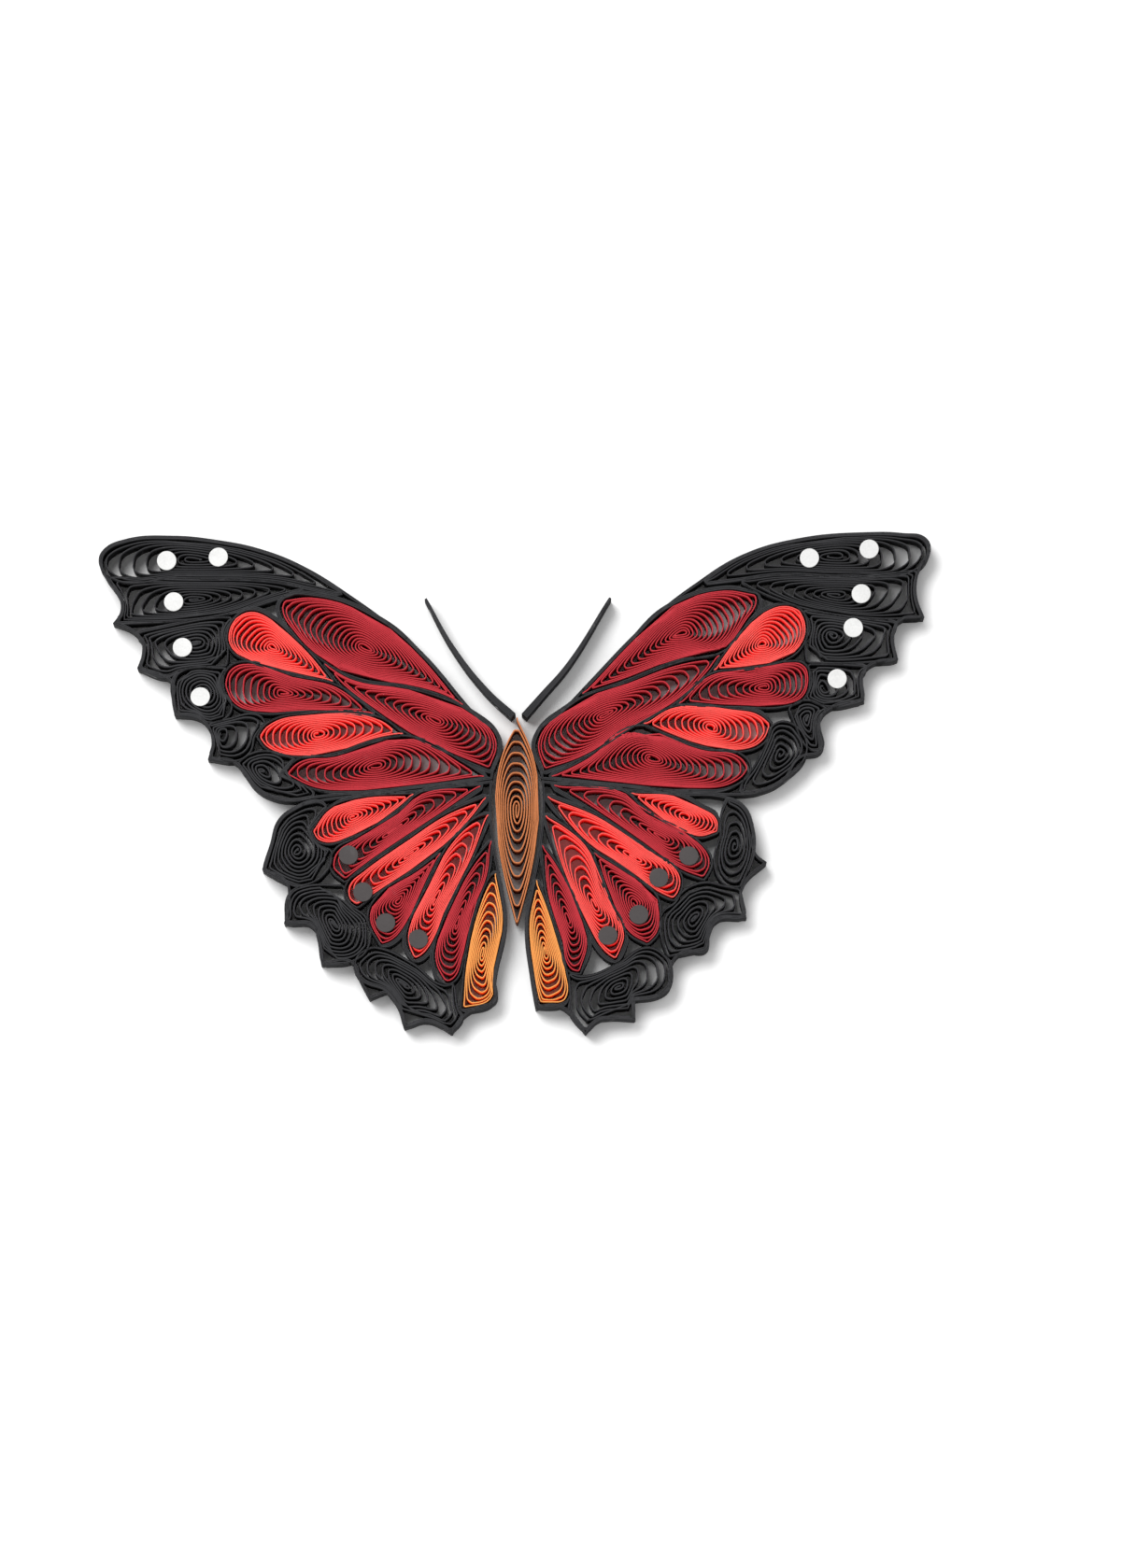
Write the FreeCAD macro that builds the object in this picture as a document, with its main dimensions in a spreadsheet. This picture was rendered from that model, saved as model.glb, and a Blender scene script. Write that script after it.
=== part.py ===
import FreeCAD, Part
import math
import os
import Sketcher
from FreeCAD import Placement, Rotation, Vector

# Quilled paper butterfly, lying flat on its back. Millimetres, +Z up, +Y towards the head.
# The origin is under the middle of the butterfly, on the face that is glued down.
# Narrow paper strips stand on edge. Each wing is a web of black strip, the veins, whose
# cells each hold one wound coil. The body is a long coil of its own.

doc = FreeCAD.newDocument("Butterfly")
sheet = doc.addObject("Spreadsheet::Sheet", "Sizes")

SIZES = [
    ("wing_span", 92.1),          # from tip to tip
    ("wing_length", 55.9),        # from the fore wings' upper edge to the hind wings' teeth
    ("strip_height", 3.0),        # width of the quilling strips, which stand on edge
    ("paper_thickness", 0.18),    # one strip, with its film of glue
    ("vein_width", 0.46),         # black strips between two coils
    ("border_width", 0.5),        # black strips laminated round the edge of a wing
    ("glue_gap", 0.04),           # between a coil and the web, and between neighbours
    ("root_gap", 0.2),            # between the body's curve and a wing's root
    ("colour_turns", 2.0),        # turns in a coloured coil
    ("black_turns", 2.0),         # turns in a black coil
    ("core_share", 0.3),          # size of a coil's last turn beside its first
    ("body_core_share", 0.15),
    ("body_centre", 0.2),         # X of the body's middle line
    ("body_head", 8.1),           # Y of the body's upper tip
    ("body_waist", -2.5),         # Y of its widest place, and of its eye
    ("body_tail", -16.3),         # Y of its lower tip
    ("body_width", 5.1),
    ("head_fullness", 2.4),       # how full the body's curve is towards the head
    ("tail_fullness", 1.6),
    ("body_turns", 5.0),
    ("antenna_seat", 0.6),        # from the head's tip sideways to an antenna's root
    ("antenna_drop", 0.1),        # from the head's tip down to it
    ("antenna_length", 16.6),
    ("antenna_root_width", 0.76),
    ("antenna_tip_width", 0.34),
    ("antenna_bow", 0.6),         # how far an antenna's middle bows out
    ("left_antenna_angle", 126.2),
    ("right_antenna_angle", 54.5),
    ("dot_diameter", 2.15),
    ("dot_thickness", 0.2),
    ("dot_sides", 20),            # enough for an edge round to a hundredth of a millimetre
]
for row, (alias, value) in enumerate(SIZES, start=1):
    sheet.set("A%d" % row, alias)
    sheet.set("B%d" % row, str(value))
    sheet.setAlias("B%d" % row, alias)
doc.recompute()


def size(alias):
    return float(sheet.get(alias))


# Span and length of the pattern that the wings' points are measured on.
PATTERN_SPAN = 92.1
PATTERN_LENGTH = 55.9

# Room that a coil's first turn takes up, in paper thicknesses.
FIRST_TURN_ROOM = 1.4

# How far along a flank of the body its corners lie, from the waist to a tip.
FLANK_SHARES = (0.85, 0.6, 0.3, 0)


# Plane geometry. A corner is an (x, y) pair, and an outline is a list of corners.

def area(outline):
    total = 0.0
    for (ax, ay), (bx, by) in zip(outline, outline[1:] + outline[:1]):
        total += ax * by - bx * ay
    return total / 2


def crossing(first, second):
    """Where two lines meet, each given as a point and a direction."""
    (px, py), (dx, dy) = first
    (qx, qy), (ex, ey) = second
    turn = dx * ey - dy * ex
    if abs(turn) < 1e-6:
        return qx, qy
    along = ((qx - px) * ey - (qy - py) * ex) / turn
    return px + along * dx, py + along * dy


def moved_line(start, end, depth):
    """The line from start to end, moved to its left by depth."""
    dx, dy = end[0] - start[0], end[1] - start[1]
    length = math.hypot(dx, dy)
    dx, dy = dx / length, dy / length
    return (start[0] - dy * depth, start[1] + dx * depth), (dx, dy)


def meeting_points(lines, closed):
    """Corners where each line meets the next, without the lines that have shrunk away.

    A line is a point and a direction. An open chain keeps its two ends.
    """
    lines = list(lines)
    while True:
        corners = [crossing(before, after) for before, after in zip(lines, lines[1:])]
        if closed:
            corners.insert(0, crossing(lines[-1], lines[0]))
            spans = list(zip(lines, corners, corners[1:] + corners[:1]))
        else:
            spans = list(zip(lines[1:], corners, corners[1:]))
        lengths = []
        for (_, direction), start, end in spans:
            lengths.append((end[0] - start[0]) * direction[0] + (end[1] - start[1]) * direction[1])
        shortest = min(range(len(lengths)), key=lengths.__getitem__)
        if lengths[shortest] > 0:
            return corners
        lines.remove(spans[shortest][0])


def inset(outline, depths):
    """Move each side of an anticlockwise outline inwards by its own depth."""
    lines = []
    for start, end, depth in zip(outline, outline[1:] + outline[:1], depths):
        lines.append(moved_line(start, end, depth))
    return meeting_points(lines, closed=True)


def nearest_side(eye, outline):
    """How far the eye is from the nearest side of an anticlockwise outline."""
    distances = []
    for start, end in zip(outline, outline[1:] + outline[:1]):
        (px, py), (dx, dy) = moved_line(start, end, 0)
        distances.append(dx * (eye[1] - py) - dy * (eye[0] - px))
    return min(distances)


def bend(outline, index):
    """How sharply an outline turns at one of its corners, in radians."""
    before, corner = outline[index - 1], outline[index]
    after = outline[(index + 1) % len(outline)]
    _, (ax, ay) = moved_line(before, corner, 0)
    _, (bx, by) = moved_line(corner, after, 0)
    return abs(math.atan2(ax * by - ay * bx, ax * bx + ay * by))


def winding(outline, eye, turns, core, thickness):
    """Outline of a strip wound inwards from an outline to its eye, as a closed polygon.

    The strip starts where the outline bends least, so that its end stays inside. Its first
    turn keeps close to the outline, and the others share the way to the core.
    """
    corners = len(outline)
    start = min(range(corners), key=lambda index: bend(outline, index))
    outline = outline[start:] + outline[:start]
    steps = round(turns * corners)
    even_share = 1 - (1 - core) / turns
    first_turn_end = max(even_share, 1 - FIRST_TURN_ROOM * thickness / nearest_side(eye, outline))
    outer = []
    for step in range(steps + 1):
        if step <= corners:
            share = 1 - (1 - first_turn_end) * step / corners
        else:
            share = first_turn_end - (first_turn_end - core) * (step - corners) / (steps - corners)
        x, y = outline[step % corners]
        outer.append((eye[0] + share * (x - eye[0]), eye[1] + share * (y - eye[1])))
    lines = [moved_line(start, end, thickness) for start, end in zip(outer, outer[1:])]
    end, direction = outer[-1], lines[-1][1]
    last = (end[0] - direction[1] * thickness, end[1] + direction[0] * thickness)
    return outer + [last] + meeting_points(lines, closed=False)[::-1] + [lines[0][0]]


def face(outline):
    corners = [Vector(x, y, 0) for x, y in outline]
    return Part.Face(Part.makePolygon(corners + corners[:1]))


def standing_strip(label, flat_shape):
    """A flat pattern raised to the height of the strips."""
    pattern = doc.addObject("Part::Feature", label + "_pattern")
    pattern.Shape = flat_shape
    strip = doc.addObject("Part::Extrusion", label)
    strip.Base = pattern
    strip.DirMode = "Custom"
    strip.Dir = Vector(0, 0, 1)
    strip.Solid = True
    strip.setExpression("LengthFwd", "Sizes.strip_height")
    return strip


# Body

def body_half_width(y):
    waist = size("body_waist")
    if y >= waist:
        share = (y - waist) / (size("body_head") - waist)
        fullness = size("head_fullness")
    else:
        share = (waist - y) / (waist - size("body_tail"))
        fullness = size("tail_fullness")
    return size("body_width") / 2 * (1 - min(share, 1) ** fullness)


def body_outline():
    """Anticlockwise from the head's tip: down the left flank and up the right one."""
    middle, waist = size("body_centre"), size("body_waist")
    head, tail = size("body_head"), size("body_tail")
    levels = [waist + share * (head - waist) for share in FLANK_SHARES]
    levels += [waist - share * (waist - tail) for share in reversed(FLANK_SHARES[:-1])]
    left = [(middle - body_half_width(y), y) for y in levels]
    right = [(middle + body_half_width(y), y) for y in reversed(levels)]
    return [(middle, head)] + left + [(middle, tail)] + right


def make_body():
    eye = (size("body_centre"), size("body_waist"))
    turns, core = size("body_turns"), size("body_core_share")
    coil = winding(body_outline(), eye, turns, core, size("paper_thickness"))
    return standing_strip("body_coil", face(coil))


# Wings. Each wing's edge and veins are points of the pattern that the paper is laid out on,
# in millimetres. The edge goes round the wing from its root. A root point is given by its Y
# alone, because it lies beside the body's curve. A cell names its corners in order, e for
# the edge and v for the veins, and gives the eye of its coil.

def from_pattern(point):
    """A point of the pattern, spread out to the size of the butterfly."""
    wide, tall = size("wing_span") / PATTERN_SPAN, size("wing_length") / PATTERN_LENGTH
    return point[0] * wide, point[1] * tall


def root_point(side, y):
    """The point of the pattern that comes to lie beside the body at this Y."""
    wide, tall = from_pattern((1, 1))
    x = size("body_centre") + side * (body_half_width(y * tall) + size("root_gap"))
    return x / wide, y


def left_fore_wing():
    edge = [
        root_point(-1, 0.6), root_point(-1, 1.3), root_point(-1, 5.1), (-4.3, 8.0), (-10.1, 14.8),
        (-13.9, 18.1), (-17.4, 20.7), (-23.4, 24.5), (-28.1, 26.4), (-32.8, 27.4), (-37.9, 27.9),
        (-43.2, 27.5), (-45.6, 26.3), (-46.1, 25.0), (-45.4, 23.3), (-43.7, 20.5), (-43.7, 19.2),
        (-44.5, 18.0), (-42.2, 17.0), (-41.3, 15.8), (-41.3, 14.3), (-41.8, 12.9), (-38.8, 12.0),
        (-37.9, 11.3), (-37.9, 9.3), (-37.6, 7.7), (-35.1, 7.4), (-34.2, 6.8), (-33.5, 4.8),
        (-33.9, 2.8), (-30.9, 2.4), (-29.9, 1.2), (-28.6, -0.5), (-26.9, -1.5), (-24.6, -1.9),
        (-21.8, -1.5), (-16.9, -1.0), (-10.2, -0.4),
    ]
    veins = [
        (-22.0, 14.3), (-19.5, 11.2), (-14.9, 7.7), (-11.8, 5.6), (-5.5, 2.6), (-17.7, 11.9),
        (-11.8, 10.9), (-8.2, 9.9), (-24.6, 16.9), (-26.2, 19.5), (-25.7, 20.9), (-22.3, 21.3),
        (-29.2, 19.7), (-31.0, 18.8), (-31.9, 17.0), (-31.6, 15.2), (-29.9, 13.9), (-24.4, 12.3),
        (-26.7, 18.7), (-22.8, 8.1), (-28.2, 7.9), (-31.1, 8.8), (-32.3, 11.1), (-31.7, 13.2),
        (-15.5, 4.9), (-20.0, 3.4), (-24.0, 3.0), (-27.4, 3.9), (-28.6, 5.4), (-27.4, 7.0),
        (-22.3, -0.5), (-25.8, 1.1), (-22.5, 21.9), (-26.5, 22.7), (-37.0, 23.0), (-26.9, 20.7),
        (-32.8, 18.8), (-37.0, 12.7), (-31.8, 7.4), (-29.1, 3.6),
    ]
    cells = {
        "crimson_upper": ("v0 v8 v9 v10 v11 e5 e4 e3 v7 v6 v5", (-16.3, 15.7)),
        "crimson_middle": ("v0 v5 v6 v7 e3 e2 e1 v4 v3 v2 v1", (-11.4, 6.9)),
        "coral_upper": ("v8 v0 v1 v17 v16 v15 v14 v13 v12 v18", (-26.8, 15.7)),
        "crimson_narrow": ("v1 v2 v19 v20 v21 v22 v23 v16 v17", (-25.8, 10.6)),
        "coral_lower": ("v19 v2 v3 v24 v25 v26 v27 v28 v29", (-23.4, 5.8)),
        "crimson_lower": ("v3 v4 e0 e37 e36 v30 v31 v26 v25 v24", (-15.5, 2.2)),
        "black_tip": ("e6 v32 v33 v34 e14 e13 e12 e11 e10 e9 e8 e7", (-30.5, 25.1)),
        "black_second": ("e14 v34 v33 v32 v35 v36 e17 e16 e15", (-35.8, 20.7)),
        "black_third": ("v36 v13 v14 v15 v23 v37 e22 e21 e20 e19 e18", (-34.7, 16.1)),
        "black_fourth": ("v37 v23 v22 v21 v38 e27 e26 e25 e24 e23", (-34.7, 10.0)),
        "black_fifth": ("e27 v38 v20 v29 v28 v39 e30 e29 e28", (-31.2, 5.5)),
        "black_low": ("e30 v39 v27 v26 v31 v30 e35 e34 e33 e32 e31", (-27.7, 0.7)),
    }
    return edge, veins, cells


def left_hind_wing():
    edge = [
        root_point(-1, 0.6), (-10.2, -0.4), (-16.9, -1.0), (-21.8, -1.6), (-24.6, -2.5), (-26.2, -3.9),
        (-27.0, -6.5), (-27.9, -9.5), (-25.3, -10.8), (-25.0, -12.2), (-25.4, -15.4), (-22.3, -15.8),
        (-21.8, -17.1), (-21.3, -20.0), (-17.9, -19.8), (-17.2, -21.5), (-16.0, -23.8), (-14.1, -23.0),
        (-13.0, -24.5), (-12.2, -27.0), (-9.7, -26.3), (-8.0, -26.9), (-6.9, -27.6), (-5.6, -25.8),
        (-4.1, -24.8), (-2.0, -24.0), (-2.0, -21.7), (-0.8, -15.2), root_point(-1, -11.8),
        root_point(-1, -9.2), root_point(-1, -5.5), root_point(-1, -2.9), root_point(-1, -0.8),
    ]
    veins = [
        (-20.5, -2.4), (-22.6, -5.1), (-21.6, -6.5), (-17.7, -5.8), (-12.7, -2.7), (-7.6, -3.0),
        (-11.8, -5.8), (-16.9, -9.4), (-18.7, -11.0), (-20.4, -9.3), (-20.0, -7.2), (-18.5, -12.8),
        (-17.3, -13.8), (-15.2, -12.2), (-11.0, -9.4), (-7.6, -6.8), (-4.4, -3.5), (-16.3, -14.6),
        (-14.8, -18.0), (-13.3, -17.4), (-11.9, -15.7), (-9.3, -10.2), (-12.1, -17.5), (-11.2, -19.7),
        (-10.0, -19.1), (-8.9, -17.6), (-7.1, -13.1), (-4.7, -8.5), (-9.0, -19.9), (-7.8, -22.1),
        (-6.6, -21.9), (-5.5, -19.1), (-4.4, -14.1), (-2.8, -10.0), (-6.1, -25.0), (-23.2, -11.2),
        (-16.0, -18.0),
    ]
    cells = {
        "coral_first": ("e1 e2 v0 v1 v2 v3 v4", (-19.0, -3.9)),
        "crimson_first": ("e0 v5 v6 v7 v8 v9 v10 v3 v4 e1", (-12.6, -4.1)),
        "coral_second": ("e32 v5 v6 v7 v8 v11 v12 v13 v14 v15 v16", (-12.9, -8.9)),
        "crimson_short": ("v15 v14 v13 v17 v18 v19 v20 v21", (-12.9, -12.8)),
        "coral_third": ("e31 v16 v15 v21 v20 v22 v23 v24 v25 v26 v27", (-8.9, -13.1)),
        "crimson_second": ("e30 v27 v26 v25 v28 v29 v30 v31 v32 v33", (-6.2, -15.7)),
        "orange": ("e29 v33 v32 v31 v34 e24 e25 e26 e27 e28", (-3.3, -17.8)),
        "black_outer": ("e3 e4 e5 e6 e7 e8 v35 v9 v10 v2 v1 v0", (-25.3, -6.4)),
        "black_middle": ("e9 v35 v8 v11 v12 v17 v36 e14 e13 e12 e11 e10", (-20.1, -14.3)),
        "black_inner": ("e14 e15 e17 e18 e19 e20 e21 e22 e23 v34 v30 v29 v23 v18 v36", (-8.6, -23.7)),
    }
    return edge, veins, cells


def right_fore_wing():
    edge = [
        root_point(1, 0.6), root_point(1, 1.2), root_point(1, 5.1), (5.2, 8.5), (8.1, 11.6),
        (12.9, 16.7), (16.0, 19.6), (19.5, 22.3), (24.9, 25.7), (31.2, 27.6), (39.0, 28.3),
        (42.8, 28.2), (45.4, 27.7), (46.0, 26.3), (44.8, 24.1), (44.4, 22.3), (44.5, 20.7),
        (45.3, 18.6), (42.5, 18.2), (41.9, 16.6), (42.3, 13.9), (39.3, 13.3), (38.5, 12.2),
        (38.6, 9.3), (34.9, 8.5), (33.8, 7.3), (33.9, 3.8), (31.4, 2.9), (29.6, 0.4),
        (27.0, -0.9), (24.8, -1.2), (17.6, -0.8), (11.8, -0.3),
    ]
    veins = [
        (23.0, 14.8), (21.5, 12.5), (17.5, 8.9), (13.7, 6.8), (7.6, 3.0), (18.0, 13.8),
        (11.8, 11.4), (7.6, 10.0), (25.9, 18.3), (27.1, 20.0), (26.9, 21.5), (23.0, 22.0),
        (27.6, 19.6), (29.8, 20.3), (31.6, 19.7), (32.4, 17.8), (31.9, 15.6), (30.0, 13.9),
        (26.0, 13.0), (32.1, 13.6), (32.6, 11.7), (32.0, 9.6), (30.0, 8.7), (24.4, 8.6),
        (26.8, 8.2), (28.5, 6.9), (27.6, 4.7), (24.9, 3.6), (20.9, 4.1), (17.1, 5.4),
        (26.1, 1.9), (24.9, 0.2), (24.4, 22.9), (29.1, 23.5), (36.5, 23.3), (39.6, 18.5),
        (36.5, 13.5), (30.7, 6.9), (32.3, 4.0),
    ]
    cells = {
        "crimson_upper": ("v0 v8 v9 v10 v11 e6 e5 e4 e3 v7 v6 v5", (18.3, 17.0)),
        "crimson_middle": ("v0 v5 v6 v7 e3 e2 e1 v4 v3 v2 v1", (9.5, 7.8)),
        "coral_upper": ("v1 v0 v8 v12 v13 v14 v15 v16 v17 v18", (27.1, 15.9)),
        "crimson_narrow": ("v2 v1 v18 v17 v19 v20 v21 v22 v23", (27.7, 11.2)),
        "coral_lower": ("v3 v2 v23 v24 v25 v26 v27 v28 v29", (21.7, 6.5)),
        "crimson_lower": ("e0 v4 v3 v29 v28 v27 v30 v31 e31 e32", (15.2, 2.5)),
        "black_tip": ("e7 e8 e9 e10 e11 e12 e13 e14 v34 v33 v32", (35.6, 25.6)),
        "black_second": ("v32 v10 v13 v14 v35 e17 e16 e15 e14 v34 v33", (35.4, 21.3)),
        "black_third": ("v14 v35 e18 e19 e20 v36 v19 v16 v15", (34.6, 17.1)),
        "black_fourth": ("v19 v36 e21 e22 e23 e24 v21 v20", (34.4, 10.8)),
        "black_fifth": ("e24 e25 e26 v38 v37 v22 v21", (32.1, 7.6)),
        "black_low": ("v37 v38 e27 e28 e29 e30 v31 v30 v26 v25", (29.6, 3.9)),
    }
    return edge, veins, cells


def right_hind_wing():
    edge = [
        root_point(1, 0.6), (11.8, -0.3), (17.6, -0.8), (23.4, -1.2), (25.3, -2.2), (26.3, -4.4),
        (26.5, -7.4), (27.8, -8.6), (25.1, -11.5), (25.5, -14.8), (22.2, -15.2), (21.5, -16.6),
        (21.1, -18.4), (18.4, -18.7), (17.2, -20.2), (16.9, -22.8), (13.2, -23.9), (13.3, -26.1),
        (10.2, -26.0), (9.2, -26.2), (7.7, -27.6), (6.2, -25.6), (4.7, -24.6), (2.2, -24.8),
        (1.6, -21.3), (1.0, -15.2), root_point(1, -11.8), root_point(1, -9.4), root_point(1, -5.9),
        root_point(1, -2.9), root_point(1, -0.8),
    ]
    veins = [
        (20.3, -2.2), (22.5, -3.7), (22.5, -5.4), (20.1, -6.0), (14.4, -2.7), (21.8, -8.5),
        (20.9, -10.7), (18.3, -9.7), (14.4, -6.9), (9.2, -3.3), (18.4, -11.7), (17.5, -13.0),
        (15.7, -12.2), (12.1, -9.4), (5.7, -4.5), (16.1, -14.1), (15.9, -16.4), (14.6, -17.9),
        (12.3, -16.5), (10.0, -11.7), (8.3, -7.0), (12.0, -18.0), (11.2, -19.8), (9.7, -18.8),
        (7.9, -15.9), (4.7, -8.6), (8.2, -17.6), (7.3, -21.1), (5.8, -20.7), (4.9, -17.2),
        (3.4, -12.5), (6.0, -23.7), (23.0, -11.1), (16.7, -19.1),
    ]
    cells = {
        "coral_first": ("e1 e2 v0 v1 v2 v3 v4", (19.0, -3.7)),
        "crimson_first": ("e0 e1 v4 v3 v5 v6 v7 v8 v9", (13.1, -3.8)),
        "coral_second": ("e30 v9 v8 v7 v10 v11 v12 v13 v20 v14", (13.4, -8.6)),
        "crimson_short": ("v20 v13 v12 v15 v16 v17 v18 v19", (13.4, -13.1)),
        "coral_third": ("e29 v14 v20 v19 v18 v21 v22 v23 v24 v25", (8.9, -13.6)),
        "crimson_second": ("e28 v25 v24 v26 v27 v28 v29 v30", (5.6, -15.2)),
        "orange": ("e27 v30 v29 v28 v31 e22 e23 e24 e25 e26", (3.2, -18.8)),
        "black_outer": ("v1 e3 e4 e5 e6 e8 v32 v5 v2", (24.4, -6.9)),
        "black_middle": ("v32 e8 e9 e10 e11 e12 e13 v33 v16 v15 v11 v10 v6", (19.9, -13.8)),
        "black_inner": ("v33 e14 e15 e16 e17 e18 e19 e20 e21 v31 v28 v27 v22 v17", (8.6, -23.2)),
    }
    return edge, veins, cells


def cell_corners(names, edge, veins):
    """A cell's corners anticlockwise, each with its name."""
    corners = []
    for name in names.split():
        points = edge if name[0] == "e" else veins
        corners.append((name, points[int(name[1:])]))
    if area([point for _, point in corners]) < 0:
        corners.reverse()
    return corners


def opening(corners, border, vein):
    """A cell without the strips round it: the border where it lies on the edge, else a vein."""
    depths = []
    for (name, _), (following, _) in zip(corners, corners[1:] + corners[:1]):
        on_edge = name[0] == "e" and following[0] == "e"
        depths.append(border if on_edge else vein / 2)
    return inset([point for _, point in corners], depths)


def make_wing(label, wing):
    """One wing: the web of black strip and the coil in each of its cells."""
    edge, veins, cells = wing()
    edge = [from_pattern(point) for point in edge]
    veins = [from_pattern(point) for point in veins]
    edge_line = edge if area(edge) > 0 else edge[::-1]
    rim = inset(edge_line, [size("glue_gap") / 2] * len(edge_line))
    pieces = []
    holes = []
    for name, (names, eye) in cells.items():
        hole = opening(cell_corners(names, edge, veins), size("border_width"), size("vein_width"))
        holes.append(face(hole))
        turns = size("black_turns") if name.startswith("black") else size("colour_turns")
        outline = inset(hole, [size("glue_gap")] * len(hole))
        coil = winding(outline, from_pattern(eye), turns, size("core_share"), size("paper_thickness"))
        pieces.append(standing_strip(label + "_" + name, face(coil)))
    web = face(rim).cut(holes)
    pieces.append(standing_strip(label + "_frame", web))
    return pieces


# Antennae: a tapered wedge of laminated strip, wide where it meets the head.

def make_antenna(side_name, side):
    body = doc.addObject("PartDesign::Body", side_name + "_antenna")
    plane = [part for part in body.Origin.OriginFeatures if part.Role == "XY_Plane"][0]
    sketch = body.newObject("Sketcher::SketchObject", side_name + "_antenna_sketch")
    sketch.AttachmentSupport = (plane, "")
    sketch.MapMode = "FlatFace"
    length, bow = size("antenna_length"), -side * size("antenna_bow")
    root, tip = size("antenna_root_width") / 2, size("antenna_tip_width") / 2
    middle = (root + tip) / 2
    corners = [
        (0, -root), (length / 2, bow - middle), (length, -tip),
        (length, tip), (length / 2, bow + middle), (0, root),
    ]
    root_rule = "Sizes.antenna_root_width / 2"
    tip_rule = "Sizes.antenna_tip_width / 2"
    bow_rule = "%d * Sizes.antenna_bow" % -side
    middle_rule = "(Sizes.antenna_root_width + Sizes.antenna_tip_width) / 4"
    rules = [
        (None, "-" + root_rule),
        ("Sizes.antenna_length / 2", bow_rule + " - " + middle_rule),
        ("Sizes.antenna_length", "-" + tip_rule),
        ("Sizes.antenna_length", tip_rule),
        ("Sizes.antenna_length / 2", bow_rule + " + " + middle_rule),
        (None, root_rule),
    ]
    for start, end in zip(corners, corners[1:] + corners[:1]):
        sketch.addGeometry(Part.LineSegment(Vector(*start, 0), Vector(*end, 0)))
    for i in range(len(corners)):
        sketch.addConstraint(Sketcher.Constraint("Coincident", i, 2, (i + 1) % len(corners), 1))
    for i, ((x, y), (rule_x, rule_y)) in enumerate(zip(corners, rules)):
        across = sketch.addConstraint(Sketcher.Constraint("DistanceX", -1, 1, i, 1, x))
        up = sketch.addConstraint(Sketcher.Constraint("DistanceY", -1, 1, i, 1, y))
        if rule_x:
            sketch.setExpression("Constraints[%d]" % across, rule_x)
        sketch.setExpression("Constraints[%d]" % up, rule_y)
    pad = body.newObject("PartDesign::Pad", side_name + "_antenna_pad")
    pad.Profile = sketch
    pad.setExpression("Length", "Sizes.strip_height")
    root_x = size("body_centre") + side * size("antenna_seat")
    root_y = size("body_head") - size("antenna_drop")
    turned = Rotation(Vector(0, 0, 1), size(side_name + "_antenna_angle"))
    body.Placement = Placement(Vector(root_x, root_y, 0), turned)
    body.setExpression("Placement.Base.x", "Sizes.body_centre + %d * Sizes.antenna_seat" % side)
    body.setExpression("Placement.Base.y", "Sizes.body_head - Sizes.antenna_drop")
    body.setExpression("Placement.Rotation.Angle", "Sizes.%s_antenna_angle" % side_name)
    return body


# Dots: punched paper discs glued on top of the coils.

DOTS = {
    "left_white_dots": [(-38.5, 25.0), (-32.8, 25.4), (-37.7, 20.4), (-36.7, 15.3), (-34.7, 9.8)],
    "right_white_dots": [(32.5, 25.3), (39.1, 26.3), (38.2, 21.3), (37.3, 17.5), (35.5, 11.8)],
    "left_grey_dots": [(-18.3, -7.8), (-16.7, -11.9), (-14.2, -15.3), (-10.6, -17.1)],
    "right_grey_dots": [(19.1, -7.9), (15.8, -10.3), (13.6, -14.4), (10.2, -16.7)],
}


def make_dots(label, places):
    discs = []
    for number, (x, y) in enumerate(places, start=1):
        disc = doc.addObject("Part::Prism", "%s_%d" % (label, number))
        disc.setExpression("Polygon", "Sizes.dot_sides")
        disc.setExpression("Circumradius", "Sizes.dot_diameter / 2")
        disc.setExpression("Height", "Sizes.dot_thickness")
        disc.setExpression("Placement.Base.x", "%s * Sizes.wing_span / %s" % (x, PATTERN_SPAN))
        disc.setExpression("Placement.Base.y", "%s * Sizes.wing_length / %s" % (y, PATTERN_LENGTH))
        disc.setExpression("Placement.Base.z", "Sizes.strip_height")
        discs.append(disc)
    group = doc.addObject("Part::Compound", label)
    group.Links = discs
    return group


def make_butterfly():
    pieces = [make_body()]
    pieces += make_wing("left_fore", left_fore_wing)
    pieces += make_wing("left_hind", left_hind_wing)
    pieces += make_wing("right_fore", right_fore_wing)
    pieces += make_wing("right_hind", right_hind_wing)
    pieces.append(make_antenna("left", -1))
    pieces.append(make_antenna("right", 1))
    for label, places in DOTS.items():
        pieces.append(make_dots(label, places))
    return pieces


def write_pieces(pieces):
    """Check every object, then write each piece to a file named after it."""
    doc.recompute()
    for item in doc.Objects:
        if "Invalid" in item.State or "Error" in item.State:
            raise RuntimeError("%s did not build: %s" % (item.Label, item.State))
    unsound = [piece.Label for piece in pieces if piece.Shape.isNull() or not piece.Shape.isValid()]
    if unsound:
        raise RuntimeError("these pieces are not sound shapes: " + ", ".join(unsound))
    os.makedirs("parts", exist_ok=True)
    for piece in pieces:
        piece.Shape.exportStep("parts/%s.step" % piece.Label)


write_pieces(make_butterfly())
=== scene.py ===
import math
import random

import bmesh
import bpy
from bpy.props import FloatProperty, FloatVectorProperty, IntProperty, PointerProperty
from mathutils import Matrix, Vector
from mathutils.kdtree import KDTree


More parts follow.
